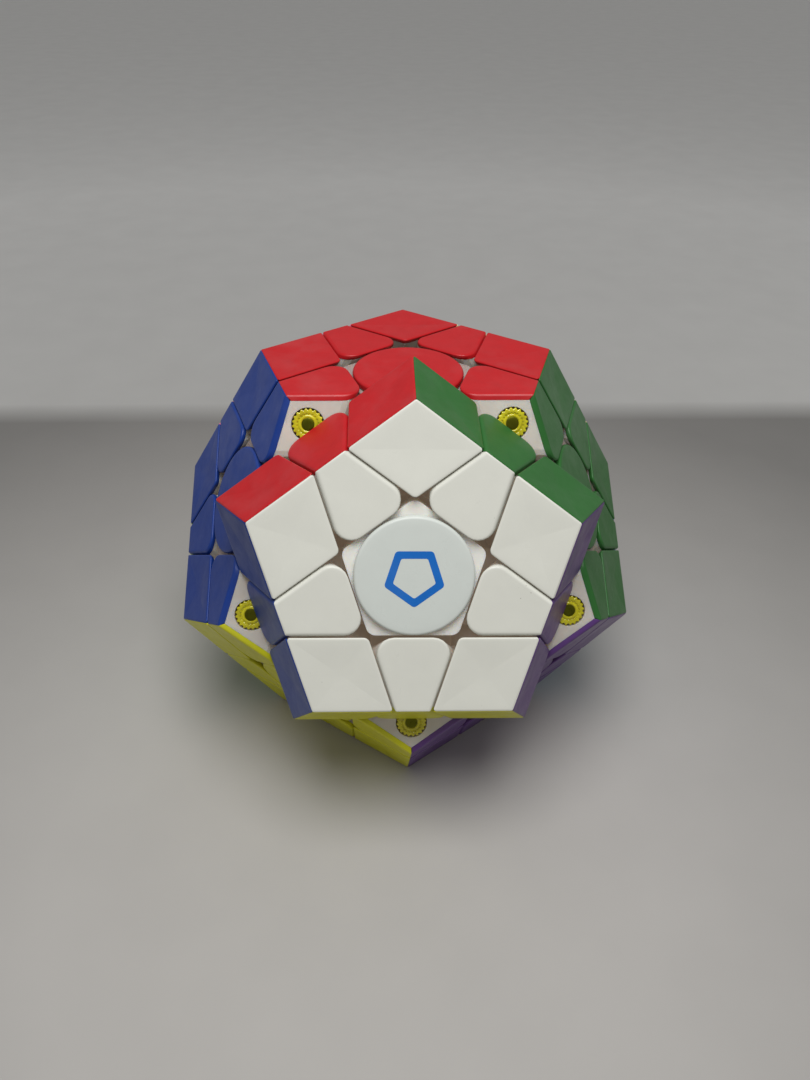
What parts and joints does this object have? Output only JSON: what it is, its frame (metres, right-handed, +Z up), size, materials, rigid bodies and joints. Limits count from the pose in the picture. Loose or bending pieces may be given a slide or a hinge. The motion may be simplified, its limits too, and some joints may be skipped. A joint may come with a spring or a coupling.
{
  "type": "dodecahedron twisting puzzle",
  "caption": "Twelve-faced twisting puzzle with a coloured tile set on each face, round centre caps, inner magnet capsules and a screwed core, one layer turned part way",
  "frame": {"origin": "middle of the bottom (orange) face, on the surface that the puzzle stands on", "axes": "+Z up, out of the top (red) face; -Y is the side of the turned front (white) layer, +X to the right seen from there"},
  "size_m": [0.0786, 0.0805, 0.0722],
  "materials": {
    "plastic_red": "satin, lightly worn",
    "plastic_white": "satin, lightly worn",
    "plastic_green": "satin, lightly worn",
    "plastic_cream": "satin, lightly worn",
    "plastic_pink": "satin, lightly worn",
    "plastic_blue": "satin, lightly worn",
    "plastic_purple": "satin, lightly worn",
    "plastic_light_blue": "satin, lightly worn",
    "plastic_grey": "satin, lightly worn",
    "plastic_lime": "satin, lightly worn",
    "plastic_yellow": "satin, lightly worn",
    "plastic_orange": "satin, lightly worn",
    "milky_plastic": "milky, slightly see-through nylon",
    "capsule_yellow": "clear yellow",
    "magnet_metal": "nickel plated",
    "steel": "bright steel",
    "core_plastic": "moulded, matt",
    "nut_plastic": "moulded, matt"
  },
  "bodies": {
    "body": {"core": "core_plastic", "screws": "steel", "springs": "steel", "tension_nuts": "nut_plastic", "body_frames": "milky_plastic", "body_centres": "milky_plastic", "body_capsules": "capsule_yellow", "body_magnets": "magnet_metal", "body_tiles_red": "plastic_red", "body_tiles_green": "plastic_green", "body_tiles_pink": "plastic_pink", "body_tiles_blue": "plastic_blue", "body_tiles_purple": "plastic_purple", "body_tiles_light_blue": "plastic_light_blue", "body_tiles_grey": "plastic_grey", "body_tiles_yellow": "plastic_yellow", "body_tiles_orange": "plastic_orange", "cap_red": "plastic_red", "cap_green": "plastic_green", "cap_blue": "plastic_blue", "cap_purple": "plastic_purple", "cap_yellow": "plastic_yellow"},
    "white_layer": {"white_frames": "milky_plastic", "white_centres": "milky_plastic", "white_capsules": "capsule_yellow", "white_magnets": "magnet_metal", "white_tiles_red": "plastic_red", "white_tiles_white": "plastic_white", "white_tiles_green": "plastic_green", "white_tiles_blue": "plastic_blue", "white_tiles_purple": "plastic_purple", "white_tiles_yellow": "plastic_yellow"},
    "cream_layer": {"cream_frames": "milky_plastic", "cream_centres": "milky_plastic", "cream_capsules": "capsule_yellow", "cream_magnets": "magnet_metal", "cream_tiles_red": "plastic_red", "cream_tiles_green": "plastic_green", "cream_tiles_cream": "plastic_cream", "cream_tiles_pink": "plastic_pink", "cream_tiles_light_blue": "plastic_light_blue", "cream_tiles_grey": "plastic_grey"},
    "lime_layer": {"lime_frames": "milky_plastic", "lime_centres": "milky_plastic", "lime_capsules": "capsule_yellow", "lime_magnets": "magnet_metal", "lime_tiles_pink": "plastic_pink", "lime_tiles_blue": "plastic_blue", "lime_tiles_grey": "plastic_grey", "lime_tiles_lime": "plastic_lime", "lime_tiles_yellow": "plastic_yellow", "lime_tiles_orange": "plastic_orange"},
    "cap_white": {"cap_white": "plastic_white"},
    "cap_cream": {"cap_cream": "plastic_cream"},
    "cap_pink": {"cap_pink": "plastic_pink"},
    "cap_light_blue": {"cap_light_blue": "plastic_light_blue"},
    "cap_grey": {"cap_grey": "plastic_grey"},
    "cap_lime": {"cap_lime": "plastic_lime"},
    "cap_orange": {"cap_orange": "plastic_orange"}
  },
  "joints": [
    {"name": "white_layer_turn", "type": "hinge", "parent": "body", "child": "white_layer", "pos_m": [0, 0, 0.03341], "axis": [0, -0.8944, 0.4472], "continuous": true},
    {"name": "cream_layer_turn", "type": "hinge", "parent": "body", "child": "cream_layer", "pos_m": [0, 0, 0.03341], "axis": [0.5257, 0.7236, 0.4472], "continuous": true},
    {"name": "lime_layer_turn", "type": "hinge", "parent": "body", "child": "lime_layer", "pos_m": [0, 0, 0.03341], "axis": [-0.8507, 0.2764, -0.4472], "continuous": true},
    {"name": "white_cap_pull", "type": "slide", "parent": "white_layer", "child": "cap_white", "axis": [0, -0.8944, 0.4472], "range_m": [0, 0.012]},
    {"name": "cream_cap_pull", "type": "slide", "parent": "cream_layer", "child": "cap_cream", "axis": [0.5257, 0.7236, 0.4472], "range_m": [0, 0.012]},
    {"name": "pink_cap_pull", "type": "slide", "parent": "body", "child": "cap_pink", "axis": [-0.5257, 0.7236, 0.4472], "range_m": [0, 0.012]},
    {"name": "light_blue_cap_pull", "type": "slide", "parent": "body", "child": "cap_light_blue", "axis": [0.8507, 0.2764, -0.4472], "range_m": [0, 0.012]},
    {"name": "grey_cap_pull", "type": "slide", "parent": "body", "child": "cap_grey", "axis": [0, 0.8944, -0.4472], "range_m": [0, 0.012]},
    {"name": "lime_cap_pull", "type": "slide", "parent": "lime_layer", "child": "cap_lime", "axis": [-0.8507, 0.2764, -0.4472], "range_m": [0, 0.012]},
    {"name": "orange_cap_pull", "type": "slide", "parent": "body", "child": "cap_orange", "axis": [0, 0, -1], "range_m": [0, 0.012]}
  ]
}
